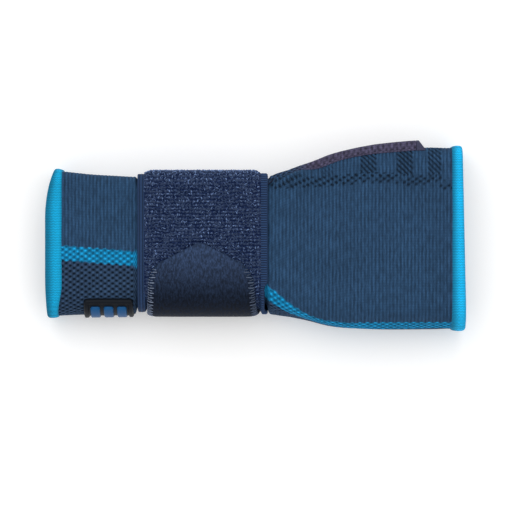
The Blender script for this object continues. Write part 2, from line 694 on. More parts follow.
class SplintColours(bpy.types.PropertyGroup):
    """Colours of the fabrics, as linear values."""

    knit: colour_property("Knit", "Blue-grey of the sleeve", (0.019, 0.053, 0.112))
    stripe: colour_property("Stripe", "Bright stripe", (0.006, 0.235, 0.48))
    forearm_hem: colour_property("Forearm hem", "Stretch hem at the forearm", (0.003, 0.30, 0.54))
    hand_hem: colour_property("Hand hem", "Stretch hem at the hand, and thumb binding", (0.006, 0.38, 0.72))
    pocket: colour_property("Pocket", "Splint pocket", (0.056, 0.058, 0.108))
    web: colour_property("Web", "Ribbed edges of the strap", (0.014, 0.034, 0.087))
    pile_dark: colour_property("Pile, deep", "Between the loops of the strap's pile", (0.002, 0.010, 0.048))
    pile_light: colour_property("Pile, pale", "Tops of the pile's loops", (0.20, 0.31, 0.60))
    tab: colour_property("Tab", "Smooth outer layer of the strap", (0.0250, 0.0440, 0.094))
    badge: colour_property("Badge", "Rubber badge", (0.002, 0.004, 0.008))
    bars: colour_property("Bars", "Raised bars of the badge", (0.005, 0.080, 0.23))


def sizes():
    """The size properties in mm, by name."""
    held = bpy.context.scene.splint_sizes
    return {k: getattr(held, k) / MM for k in held.__annotations__ if k != "stitch_count"}


def colours():
    held = bpy.context.scene.splint_colours
    return {k: tuple(getattr(held, k)) for k in held.__annotations__}


# ---------------------------------------------------------------- sleeve

WALL = 1.7
BACK_ZONE = 47.0
PALM_ZONE = 28.0
BACK_ROWS = 104
MIDDLE_ROWS = 34
PALM_ROWS = 54
INSIDE_ROWS = 22
X_STEPS = 440
# How far the sleeve's ends reach under the hems.
UNDER_HEM = 3.0
# A distance round the outline that is as good as 0, but keeps its side.
ON_THE_EDGE = 1e-9
# Pitch along X, row height and twill of the raised band's dots, and of the diagonal lines in its patches.
BAND_DOTS = (4.0, 1.5, 0.12)
PATCH_LINES = (2.7, 1.35, 0.8)
# The bright stripe's upper edge: x, and y as seen from above, from the forearm to the hand.
STRIPE_EDGE = np.array([
    (-100, -4.4), (-97, -4.6), (-61, -7.4), (-30, -16), (3, -23.2), (8.6, -26.2), (16.6, -33.0),
    (25.6, -38.7), (34.1, -41.7), (46, -43.2), (60, -43.0), (100, -42.9),
])
# The raised band's middle line on the palm side: x, y.
BAND_LINE = np.array([(5, 26.0), (37, 27.5), (57, 29.4), (72, 28.6), (100, 25.8)])
BAND_HALF = 2.6
# Upright patches of holes above the band: x from and to, and how deep their holes are.
PATCHES = [(33.0, 38.6, 0.45), (52.0, 60.0, 1.0), (70.2, 78.2, 1.0), (85.6, 92.4, 0.9)]


def lattice(x, w, pitch, row, twill=0.0):
    """1 in the middle of each hole and -1 where the yarns cross, alternate rows being half a pitch along.

    It is the mean of two slanting waves, and twill gives the first one more of the share.
    """
    a, b = 2 * math.pi * x / pitch, math.pi * w / row
    return ((1 + twill) * np.cos(a + b) + (1 - twill) * np.cos(a - b)) / 2


def knit_zones(x, w, y, outline):
    """Masks over the sleeve, 0 to 1 (stripe, open mesh, raised pattern's holes), and the knit's height."""
    s = sizes()
    back, _, low, high = outline
    edge_y = softened(np.interp(FINE_X, STRIPE_EDGE[:, 0], STRIPE_EDGE[:, 1]), FINE_STEP, 2.0)
    edge = w_on_top(np.interp(x, FINE_X, edge_y), back, low, high, SLEEVE_BACK_R)
    inside = edge - s["stripe_width"]
    reach = np.abs(w)
    scallop = 0.35 * np.cos(2 * math.pi * x / s["hole_pitch"])
    inner_edge = smoothstep(reach, inside - 0.3 + scallop, inside + 0.3 + scallop)
    stripe = inner_edge * (1 - smoothstep(reach, edge - 0.3 - scallop, edge + 0.3 - scallop))
    open_mesh = 1 - inner_edge
    band_y = np.interp(x, BAND_LINE[:, 0], BAND_LINE[:, 1])
    raised = smoothstep(x, 5, 9) * (1 - smoothstep(np.abs(y - band_y), BAND_HALF - 0.3, BAND_HALF + 0.3))
    raised_holes = raised * smoothstep(lattice(x, w, *BAND_DOTS), 0.0, 0.6)
    for start, end, depth in PATCHES:
        column = smoothstep(x, start - 0.4, start + 0.4) * (1 - smoothstep(x, end - 0.4, end + 0.4))
        patch = depth * column * smoothstep(y, band_y + BAND_HALF - 0.6, band_y + BAND_HALF + 0.2)
        raised = np.maximum(raised, patch)
        lines = smoothstep(lattice(x, w, *PATCH_LINES), -0.1, 0.6)
        raised_holes = np.maximum(raised_holes, patch * lines)
    open_wave = smoothstep(lattice(x, w, s["hole_pitch"], s["hole_row"]), 0.15, 0.75)
    holes = np.maximum((open_mesh + 0.5 * stripe) * open_wave, raised_holes)
    plain = (1 - open_mesh) * (1 - stripe) * (1 - 0.6 * raised)
    height = s["rib_height"] * np.cos(2 * math.pi * x / s["rib_pitch"]) * plain - s["hole_depth"] * holes
    height += 0.12 * stripe + 0.1 * raised
    return np.stack([stripe, open_mesh, raised_holes], -1), height


def drape(x, w, girth):
    """Slow unevenness of the fabric in mm.

    It is a slight crown over each face, soft gathers that fade away from the strap, long waves, and a swell
    of the sleeve's shoulders beside the splint where the sleeve widens to the hand.
    """
    left = np.exp(-np.clip(STRAP_LEFT - x, 0, None) / 7.0)
    right = np.exp(-np.clip(x - STRAP_RIGHT, 0, None) / 12.0)
    crown = 0.7 * np.sin(math.pi * np.clip(np.abs(w) / girth, 0, 1)) ** 2
    folds = np.cos(2 * math.pi * w / 17.0 + 0.06 * x) + 0.6 * np.cos(w / 4.3 + 1.0)
    gathers = 0.25 * (left + right) * folds
    past_strap = 1 - smoothstep(x, STRAP_RIGHT, STRAP_RIGHT + 1.5)
    free = 1 - smoothstep(x, STRAP_LEFT - 1.5, STRAP_LEFT) * past_strap
    waves = 0.18 * np.sin(0.071 * x + 0.05 * w) * np.sin(0.11 * w - 0.03 * x)
    shoulder = 0.5 + 2.1 * smoothstep(x, STRAP_RIGHT, STRAP_RIGHT + 4) * (1 - smoothstep(x, 21, 34))
    shoulder = shoulder * smoothstep(x, STRAP_RIGHT, STRAP_RIGHT + 4) * (1 - smoothstep(x, 78, 90))
    swell = shoulder * np.exp(-((girth - np.abs(w) - 14.5) / 3.2) ** 2)
    return ((crown + gathers) * smoothstep(98 - np.abs(x), 0, 12) + waves + swell) * free


def make_panel(name, side, material):
    """Half of the sleeve as one closed shell: outer face with its relief, inner face, and joins between.

    Point (x, w) lies at outline(x, w) moved along its normal by the drape and the knit's height. The
    inner face is the same outline moved in by the wall.
    """
    x = np.linspace(STATIONS[0, 0] - UNDER_HEM, STATIONS[-1, 0] + UNDER_HEM, X_STEPS)[:, None]
    outline = sleeve_outline(x)
    shape = (*outline, SLEEVE_PALM_R, SLEEVE_BACK_R)
    girth = half_girth(*shape)
    back_w = np.linspace(0, BACK_ZONE, BACK_ROWS, endpoint=False)[None]
    share = np.linspace(0, 1, MIDDLE_ROWS, endpoint=False)[None]
    palm_w = np.linspace(0, PALM_ZONE, PALM_ROWS)[None]
    w = np.concatenate([
        back_w + 0 * x, BACK_ZONE + share * (girth - PALM_ZONE - BACK_ZONE), girth - PALM_ZONE + palm_w,
    ], axis=1) * side
    w[:, 0] = side * ON_THE_EDGE
    y, z, ny, nz = outline_point(w, *shape)
    zones, height = knit_zones(x + 0 * w, w, y, outline)
    off = above_table(height + drape(x, w, girth), z, nz)
    outer = np.stack([x + 0 * w, y + ny * off, z + nz * off], -1)
    w_in = np.linspace(1, 0, INSIDE_ROWS)[None] * (girth - 1e-6) * side
    w_in[:, -1] = side * ON_THE_EDGE
    inner = standing_off(x, w_in, shape, drape(x, w_in, girth) * 0.8 - WALL)
    sections = np.concatenate([outer, inner], axis=1)
    masks = {"zones": np.concatenate([zones, np.zeros((*w_in.shape, 3))], axis=1)}
    all_w = np.concatenate([w, w_in, w[:, :1]], axis=1)
    uv = np.stack([x + 0 * all_w, all_w], -1)
    rows = w.shape[1]
    seams = (0, rows - 1, rows, sections.shape[1] - 1)
    return sweep(name, sections, uv=uv, masks=masks, material=material, creases=seams), girth


def cut_thumb_hole(panel):
    """Cuts the thumb hole through the lower panel with an oval post a little inside the binding's rim."""
    low, high = cad_box("thumb_hole_binding")
    centre, half = (low + high) / 2, (high - low) / 2 - 1.6
    turn = np.linspace(0, 2 * math.pi, 96, endpoint=False)
    x, y = centre[0] + half[0] * np.cos(turn), centre[1] + half[1] * np.sin(turn)
    post = np.stack([np.stack([x, y, z + 0 * x], -1) for z in (-4.0, 9.0)])
    cutter = sweep("thumb_hole_post", post)
    cut = panel.modifiers.new("thumb hole", "BOOLEAN")
    cut.operation, cut.object, cut.solver = "DIFFERENCE", cutter, "EXACT"
    depsgraph = bpy.context.evaluated_depsgraph_get()
    mesh = bpy.data.meshes.new_from_object(panel.evaluated_get(depsgraph), depsgraph=depsgraph)
    panel.modifiers.clear()
    panel.data = mesh
    bpy.data.objects.remove(cutter)


class SPLINT_OT_sleeve(bpy.types.Operator):
    """Knit the sleeve in its upper and lower halves, with stripes, mesh zone and raised pattern"""

    bl_idname = "splint.sleeve"
    bl_label = "Knitted sleeve"

    def execute(self, context):
        c, s = colours(), sizes()
        material = knit_material("Sleeve knit", c["knit"], c["stripe"], s["hole_pitch"], s["hole_row"],
                                 s["rib_pitch"])
        for name, side in (("sleeve_upper_half", 1.0), ("sleeve_lower_half", -1.0)):
            panel, girth = make_panel(name, side, material)
            if side < 0:
                cut_thumb_hole(panel)
            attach(panel, "brace")
            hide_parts("sleeve_knit")
        return {"FINISHED"}


# ---------------------------------------------------------------- hems and binding

HEM_STEPS = 520
HEM_LOOP = 28
HEM_ROLL = 1.9
HEM_RIBS = 190


def rolled_loop(count):
    """A soft closed loop for a rolled band: across and height, each -1 to 1, fuller than an ellipse."""
    turn = np.linspace(0, 2 * math.pi, count, endpoint=False)
    a, b = np.cos(turn), np.sin(turn)
    return np.sign(a) * np.abs(a) ** 0.62, np.sign(b) * np.abs(b) ** 0.75


def make_hem(name, station, inner_edge, outer_edge, core_at, material):
    """A rolled band round one end of the sleeve.

    Point (w, t) lies on a soft loop that runs from inner_edge(y) to outer_edge(y) along the arm and stands
    HEM_ROLL each way from the sleeve's skin, with fine cross ribs and a crease beside the sleeve. Its zone
    mask is 1 along its bright core, which is core_at (-1 at the sleeve to 1 at the end) across it.
    """
    shape = (*station, SLEEVE_PALM_R, SLEEVE_BACK_R)
    girth = half_girth(*shape)
    w = np.linspace(-girth, girth, HEM_STEPS, endpoint=False)[:, None]
    y, z, ny, nz = outline_point(w, *shape)
    across, height = rolled_loop(HEM_LOOP)
    near, far = inner_edge(y), outer_edge(y)
    x = (near + far) / 2 + (far - near) / 2 * across[None]
    ridge = 0.10 * np.cos(2 * math.pi * w / (2 * girth / HEM_RIBS)) * np.clip(height, 0, 1)[None]
    crease_line = -0.16 * np.exp(-((across[None] + 0.5) / 0.14) ** 2) * (height[None] > 0)
    off = above_table(-0.75 + HEM_ROLL * height[None] * 0.92 + ridge + crease_line, z, nz)
    sections = np.stack([x, y + ny * off, z + nz * off], -1)
    uv_w = np.concatenate([w, [[girth]]])
    loop_length = np.linspace(0, 22.0, HEM_LOOP + 1)[None]
    uv = np.stack([loop_length + 0 * uv_w, uv_w + 0 * loop_length], -1)
    core = 1 - smoothstep(np.abs(across - core_at), 0.1, 1.15)[None] + 0 * w
    masks = {"zones": np.stack([core] * 3, -1)}
    return sweep(name, sections, closed=True, uv=uv, masks=masks, material=material)


class SPLINT_OT_hems(bpy.types.Operator):
    """Roll the bright stretch hems at both ends of the sleeve"""

    bl_idname = "splint.hems"
    bl_label = "Stretch hems"

    def execute(self, context):
        c = colours()
        forearm_low, forearm_high = cad_box("forearm_hem")
        hand_low, hand_high = cad_box("hand_hem")

        def forearm_outer(y):
            palm_end = np.clip((y - 8.0) / (forearm_high[1] - 8.0), 0, 1)
            return forearm_low[0] + 4.6 * palm_end ** 2.2 + 0.5 * smoothstep(-y, 20, 40)

        def forearm_inner(y):
            return forearm_high[0] + 0.5 - 2.2 * smoothstep(-y, 24, 40)

        def hand_outer(y):
            return hand_high[0] - 2.0 * (y - hand_low[1]) / (hand_high[1] - hand_low[1])

        def hand_inner(y):
            return hand_low[0] - 0.3 + 0 * y

        for name, station, inner, outer, core_at, colour in (
            ("forearm_hem_band", STATIONS[0], forearm_inner, forearm_outer, -0.35, c["forearm_hem"]),
            ("hand_hem_band", STATIONS[-1], hand_inner, hand_outer, 0.3, c["hand_hem"]),
        ):
            material = plain_fabric(name.replace("_", " "), colour, 1.0, 0.8, 0.5, 0.05, 0.45, (0.5, 1.15))
            hem = make_hem(name, station[1:], inner, outer, core_at, material)
            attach(hem, "brace")
            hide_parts(name[:-5])
        return {"FINISHED"}


class SPLINT_OT_binding(bpy.types.Operator):
    """Roll the binding round the thumb hole"""

    bl_idname = "splint.binding"
    bl_label = "Thumb hole binding"

    def execute(self, context):
        low, high = cad_box("thumb_hole_binding")
        centre, half = (low + high) / 2, (high - low) / 2
        band = 1.75
        turn = np.linspace(0, 2 * math.pi, 260, endpoint=False)[:, None]
        along = np.linspace(0, 2 * math.pi, 20, endpoint=False)[None]
        ridge = 1 + 0.035 * np.cos(110 * turn)
        reach = band * ridge * np.cos(along)
        x = centre[0] + (half[0] - band - 0.1 + reach) * np.cos(turn)
        y = centre[1] + (half[1] - band - 0.1 + reach) * np.sin(turn)
        z = centre[2] + (half[2] - 0.06) * ridge / 1.04 * np.sin(along) + 0 * turn
        material = plain_fabric("Binding knit", colours()["hand_hem"], 1.0, 0.8, 0.4, 0.1, 0.14)
        ring = sweep("thumb_hole_rim", np.stack([x, y, z], -1), closed=True, material=material)
        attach(ring, "brace")
        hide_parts("thumb_hole_binding")
        return {"FINISHED"}


# ---------------------------------------------------------------- splint and its pocket

POCKET_NARROW = 10.4
POCKET_WIDE = 13.2
CHANNEL_HALF = 9.3
CHANNEL_TOP = 2.55
COVER_TOP = 3.5
COVER_POINTS = 61


def pocket_section(x, half, top, bow):
    """Loops round the pocket cover at each x: over its crowned outside, and back under its channel.

    Height above the knit is top over the splint and falls to a thin sewn edge, and bow lifts the middle
    line. Distances across are measured round the sleeve's outline from the splint's middle line.
    """
    outline = sleeve_outline(x)
    shape = (*outline, SLEEVE_PALM_R, SLEEVE_BACK_R)
    girth = half_girth(*shape)
    cap_low, cap_high = cad_box("splint_cap_forearm")
    shift = (cap_low[2] + cap_high[2]) / 2 - (outline[2] + outline[3]) / 2
    q_out = np.linspace(-1, 1, COVER_POINTS)[None] * half
    side = np.clip((np.abs(q_out) - CHANNEL_HALF) / (half - CHANNEL_HALF), 0, 1)
    h_out = 0.8 + (top - 0.8) * (1 - smoothstep(side, 0.0, 0.9)) + bow * (1 - (q_out / half) ** 2)
    h_out = h_out - 0.3 * np.exp(-((np.abs(q_out) - (half - 1.0)) / 0.35) ** 2)
    turns = np.array([1, 1, 1, *np.linspace(0.9, -0.9, 7), -1, -1, -1])
    reach = np.array([0.5, 0, 0, *np.zeros(7), 0, 0, 0.5])
    q_back = turns[None] * (CHANNEL_HALF + (half - CHANNEL_HALF) * 2 * reach[None] * 0.99)
    h_back = np.array([0.15, 0.2, *np.full(9, CHANNEL_TOP), 0.2, 0.15])[None]
    q = np.concatenate([q_out, q_back], axis=1) + shift
    h = np.concatenate([h_out, h_back + 0 * half], axis=1)
    w = np.where(q >= 0, girth - q, -(girth + q))
    return standing_off(x, w, shape, h + drape(x, w, girth) * np.clip(h, 0.5, 1))


class SPLINT_OT_pocket(bpy.types.Operator):
    """Sew the pocket cover over the splint, with a tape at its open mouth"""

    bl_idname = "splint.pocket"
    bl_label = "Splint pocket"

    def execute(self, context):
        c, s = colours(), sizes()
        cover_box, tape_box = cad_box("splint_pocket_cover"), cad_box("pocket_mouth_tape")
        x = np.linspace(cover_box[0][0], cover_box[1][0] - 0.1, 300)[:, None]
        widen = smoothstep(x, 13, 34)
        half = POCKET_NARROW + (POCKET_WIDE - POCKET_NARROW) * widen
        free = smoothstep(x, STRAP_RIGHT, STRAP_RIGHT + 5)
        sections = pocket_section(x, half, COVER_TOP - 0.55 * (1 - widen), 0.2 * widen)
        masks = np.zeros((*sections.shape[:2], 3))
        masks[:, :COVER_POINTS, 1] = 0.5 * free
        masks[:, :COVER_POINTS, 0] = 0.85 * (1 - smoothstep(x, 16, 30))
        cover = sweep("pocket_cover_knit", sections, masks={"zones": masks},
                      material=knit_material("Pocket knit", c["pocket"], c["knit"], s["hole_pitch"] * 0.75,
                                             s["hole_row"], s["rib_pitch"], fibre=520.0, mottle=0.95))
        x = np.linspace(tape_box[0][0] + 0.1, tape_box[1][0], 26)[:, None]
        share = np.linspace(0, 1, 26)[:, None]
        bow = 0.2 + 0.12 * np.sin(math.pi * share) ** 0.4
        sections = pocket_section(x, POCKET_WIDE + 0.1 + 0 * x, COVER_TOP, bow)
        outwards = np.clip((sections[..., 1] - sections[..., 1].max() + 4.5) / 4.5, 0, 1)
        sections[..., 0] -= 3.2 * share * outwards
        tape = sweep("pocket_mouth_binding", sections,
                     material=plain_fabric("Pocket tape", scaled(c["pocket"], 0.8), 0.5, 0.5, 0.4, 0.15, 0.3))
        for piece, node in ((cover, "splint_pocket_cover"), (tape, "pocket_mouth_tape")):
            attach(piece, "brace")
            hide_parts(node)
        return {"FINISHED"}


def paint_node(node, material):
    """Gives a CAD node that is shown as it is its only material."""
    held = frame["nodes"][node].data.materials
    held.clear()
    held.append(material)


class SPLINT_OT_stay(bpy.types.Operator):
    """Give the aluminium splint and its tip caps their finish"""

    bl_idname = "splint.stay"
    bl_label = "Aluminium splint"

    def execute(self, context):
        metal = solid_material("Brushed aluminium", (0.72, 0.73, 0.75), (0.28, 0.45), 1.0, 700.0, 0.2,
                               stretch=(0.04, 1.0, 1.0))
        plastic = solid_material("Dipped plastic", (0.03, 0.03, 0.035), (0.45, 0.6))
        paint_node("palmar_splint", metal)
        paint_node("splint_cap_forearm", plastic)
        paint_node("splint_cap_hand", plastic)
        return {"FINISHED"}


# ---------------------------------------------------------------- badge

BADGE_ROWS = 120
BADGE_COLUMNS = 96
BADGE_BORDER = 2.4
BAR_DROP = 3.4
BAR_WIDTH = 4.9


def pad_grid(x0, x1, w0, w1, corner, edge):
    """A grid (x, w) over a round-cornered rectangle, the distance inside its outline, and a rounded rise.

    Grid lines crowd towards the outline. A point past a corner's arc is pulled back to it. The rise goes
    from 0 on the outline to 1 at the distance edge inside it, as a quarter circle does.
    """
    half_a, half_b = (x1 - x0) / 2, (w1 - w0) / 2
    t, s = np.linspace(-1, 1, BADGE_COLUMNS), np.linspace(-1, 1, BADGE_ROWS)
    crowded = [np.sign(v) * (1 - (1 - np.abs(v)) ** 1.6) for v in (t, s)]
    a, b = np.meshgrid(crowded[0] * half_a, crowded[1] * half_b, indexing="ij")
    qa, qb = np.abs(a) - (half_a - corner), np.abs(b) - (half_b - corner)
    over = np.hypot(np.clip(qa, 0, None), np.clip(qb, 0, None))
    cornered = (qa > 0) & (qb > 0)
    pull = np.where(cornered & (over > corner), corner / np.maximum(over, 1e-9), 1.0)
    a = np.where(cornered, np.sign(a) * (half_a - corner + qa * pull), a)
    b = np.where(cornered, np.sign(b) * (half_b - corner + qb * pull), b)
    qa, qb = np.abs(a) - (half_a - corner), np.abs(b) - (half_b - corner)
    over = np.hypot(np.clip(qa, 0, None), np.clip(qb, 0, None))
    inside = corner - over - np.minimum(0, np.maximum(qa, qb))
    return a + (x0 + x1) / 2, b + (w0 + w1) / 2, inside, quarter_circle(inside / edge)


def lay_on_sleeve(x, w, off):
    return standing_off(x, w, (*sleeve_outline(x), SLEEVE_PALM_R, SLEEVE_BACK_R), off)


def pad(name, x0, x1, w0, w1, base, height_of, corner, edge, material):
    """A closed rubber pad on the sleeve: the raised grid above, the flat grid below, and a wall between."""
    x, w, inside, rise = pad_grid(x0, x1, w0, w1, corner, edge)
    top = lay_on_sleeve(x, w, base + height_of(inside, rise))
    bottom = lay_on_sleeve(x, w, base + 0 * x)
    nu, nv = x.shape
    quads = grid_quads(nu, nv, False, False)[0]
    count = nu * nv
    index = np.arange(count).reshape(nu, nv)
    border = np.concatenate([index[:-1, 0], index[-1, :-1], index[:0:-1, -1], index[0, :0:-1]])
    following = np.roll(border, -1)
    wall = np.stack([border, border + count, following + count, following], -1)
    co = np.concatenate([top.reshape(-1, 3), bottom.reshape(-1, 3)])
    faces = [quads, quads[:, ::-1] + count, wall]
    place = np.stack([x, w], -1).reshape(-1, 2)
    uv = [np.concatenate([place, place])[f] for f in faces]
    return new_piece(name, co, faces, uv, {}, material)


class SPLINT_OT_badge(bpy.types.Operator):
    """Mould the rubber badge with its rim and three plain raised bars"""

    bl_idname = "splint.badge"
    bl_label = "Rubber badge"

    def execute(self, context):
        c = colours()
        low, high = cad_box("badge_base")
        left, right = low[0] - 0.3, STRAP_LEFT - 2.2
        back, _, bottom, top = sleeve_outline(np.array([(left + right) / 2]))
        w_top = float(w_on_top(high[1], back, bottom, top, SLEEVE_BACK_R)[0])
        w_bars = float(w_on_top(high[1] - BAR_DROP, back, bottom, top, SLEEVE_BACK_R)[0])
        w_low = low[2] - float((bottom + top)[0] / 2)
        rubber = solid_material("Badge rubber", c["badge"], (0.45, 0.6), specular=0.16)
        blue = solid_material("Badge bars", c["bars"], (0.3, 0.45), specular=0.12)

        def base_height(inside, rise):
            return 1.9 * rise - 0.9 * smoothstep(inside, BADGE_BORDER - 0.5, BADGE_BORDER + 0.3)

        base = pad("badge_rubber", left, right, w_low, w_top, 0.1, base_height, 1.5, 0.9, rubber)
        first = left + BADGE_BORDER + 0.9
        step = (right - left - 2 * BADGE_BORDER - 1.8 - BAR_WIDTH) / 2
        bars = []
        for k in range(3):
            x0 = first + k * step
            bars.append(pad(f"badge_bar_{k + 1}", x0, x0 + BAR_WIDTH, w_low + w_top - w_bars, w_bars, 0.9,
                            lambda inside, rise: 1.2 * rise, 1.3, 0.9, blue))
        pieces = [(base, "badge_base", "badge")] + [(bar, "badge_bars", "badge_bar") for bar in bars]
        for piece, node, slot in pieces:
            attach(piece, "brace")
            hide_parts(node)
        return {"FINISHED"}


# ---------------------------------------------------------------- strap ring and pile

TICK_PITCH = 1.17
WEB_RIB = 1.5
# How far the band's edges curl outwards over the back edge, and how far round they do.
FLARE_RIGHT = 3.4
FLARE_LEFT = 2.6
FLARE_REACH = 20.0


def ring_shape():
    """The outline of the strap's inner band, its outer side, from its CAD box."""
    low, high = cad_box("strap_band")
    return low[1], high[1], low[2], high[2], RING_PALM_R, RING_BACK_R


def ring_layer(name, x_profile, off_profile, relief, steps, material, masks, nudge=None):
    """A band round the wrist: a closed loop (x, height) carried round the ring's outline.

    relief(x, w) is added to each point's height, and nudge(x, w, y) to its x. masks holds the zone
    masks of the loop's points, or of all the band's points.
    """
    shape = ring_shape()
    girth = half_girth(*shape)
    w = np.linspace(-girth, girth, steps, endpoint=False)[:, None]
    y, z, ny, nz = outline_point(w, *shape)
    x = x_profile[None] + 0 * w
    off = off_profile[None] + relief(x, w)
    if nudge:
        x = x + nudge(x, w, y)
    sections = np.stack([x, y + ny * off, z + nz * off], -1)
    zones = np.broadcast_to(masks, (*x.shape, 3)) if masks.ndim == 2 else masks
    uv_w = np.concatenate([w, [[girth]]])
    uv_x = np.concatenate([x_profile, x_profile[:1]])[None]
    uv = np.stack([uv_x + 0 * uv_w, uv_w + 0 * uv_x], -1)
    return sweep(name, sections, closed=True, uv=uv, masks={"zones": zones}, material=material), 2 * girth


def strap_slab(x0, x1, low, high, radius, steps):
    """A closed loop (x, height) round a thin slab, and the mask of its outer face, which has steps points."""
    arc = np.linspace(0, math.pi / 2, 5)
    radius = min(radius, (high - low) / 2)
    outer_x = np.linspace(x0 + radius, x1 - radius, steps)
    right = [(x1 - radius + radius * math.sin(a), high - radius + radius * math.cos(a)) for a in arc[1:]]
    right += [(x1 - radius + radius * math.cos(a), low + radius - radius * math.sin(a)) for a in arc]
    inner_x = np.linspace(x1 - radius, x0 + radius, 14)[1:-1]
    left = [(x0 + radius - radius * math.sin(a), low + radius - radius * math.cos(a)) for a in arc]
    left += [(x0 + radius - radius * math.cos(a), high - radius + radius * math.sin(a)) for a in arc[:-1]]
    points = np.concatenate([
        np.stack([outer_x, 0 * outer_x + high], -1), right, np.stack([inner_x, 0 * inner_x + low], -1), left,
    ])
    outer = np.zeros(len(points))
    outer[:steps] = 1
    return points[:, 0], points[:, 1], outer


class SPLINT_OT_ring(bpy.types.Operator):
    """Weave the strap's inner band with its ribbed and overlocked edges"""

    bl_idname = "splint.ring"
    bl_label = "Strap band"

    def execute(self, context):
        low, high = cad_box("strap_band")
        x, h, outer = strap_slab(low[0], high[0], -RING_THICKNESS, 0.0, 0.7, 90)
        ticked = outer * smoothstep(x, high[0] - 5.0, high[0] - 4.0)
        ribbed = outer * (1 - smoothstep(x, low[0] + 5.4, low[0] + 6.0))

        def relief(px, w):
            ticks = 0.18 * np.cos(2 * math.pi * w / TICK_PITCH) + 0.15
            ribs = 0.13 * np.cos(2 * math.pi * px / WEB_RIB)
            right_edge = FLARE_RIGHT * smoothstep(px, high[0] - 4.8, high[0] - 2.6)
            left_edge = FLARE_LEFT * (1 - smoothstep(px, low[0] + 3.0, low[0] + 5.6))
            flare = (right_edge + left_edge) * (1 - smoothstep(np.abs(w), FLARE_REACH - 12, FLARE_REACH))
            return ticked * ticks + ribbed * ribs + flare

        def notch(px, w, y):
            on_top_back = (w > 0) * smoothstep(-y, 22.5, 26) * (1 - smoothstep(-y, 34.6, 35.2))
            return -1.7 * smoothstep(px, high[0] - 4, high[0]) * on_top_back

        material = web_material("Strap web", colours()["web"], TICK_PITCH, WEB_RIB)
        masks = np.stack([ticked, ribbed, 0 * x], -1)
        band, girth = ring_layer("strap_inner_band", x, h, relief, 800, material, masks, notch)
        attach(band, "brace")
        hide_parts("strap_band")
        return {"FINISHED"}


def outer_w(w):
    """The outer layer's distance round its own outline, above the point at w on the ring's outline."""
    _, _, low, high, _, back_r = ring_shape()
    rise = (high - low) / 2 - back_r
    turned = np.clip((np.abs(w) - rise) / back_r, 0, math.pi / 2)
    return w + np.sign(w) * turned * OUTER_MIDDLE


def covered_by_outer(x, w):
    """1 where the outer layer of the strap lies over the pile, 0 where the pile is bare."""
    left, right, start, tip = outer_limits()
    w = outer_w(w)
    return (w > start) & (w < tip - 0.4) & (x > left(w) + 0.3) & (x < right(w) - 0.3)


PILE_REACH = (-1.5, 2.6)
PILE_TAPER = 3.4
TUFT_PITCH = 1.75


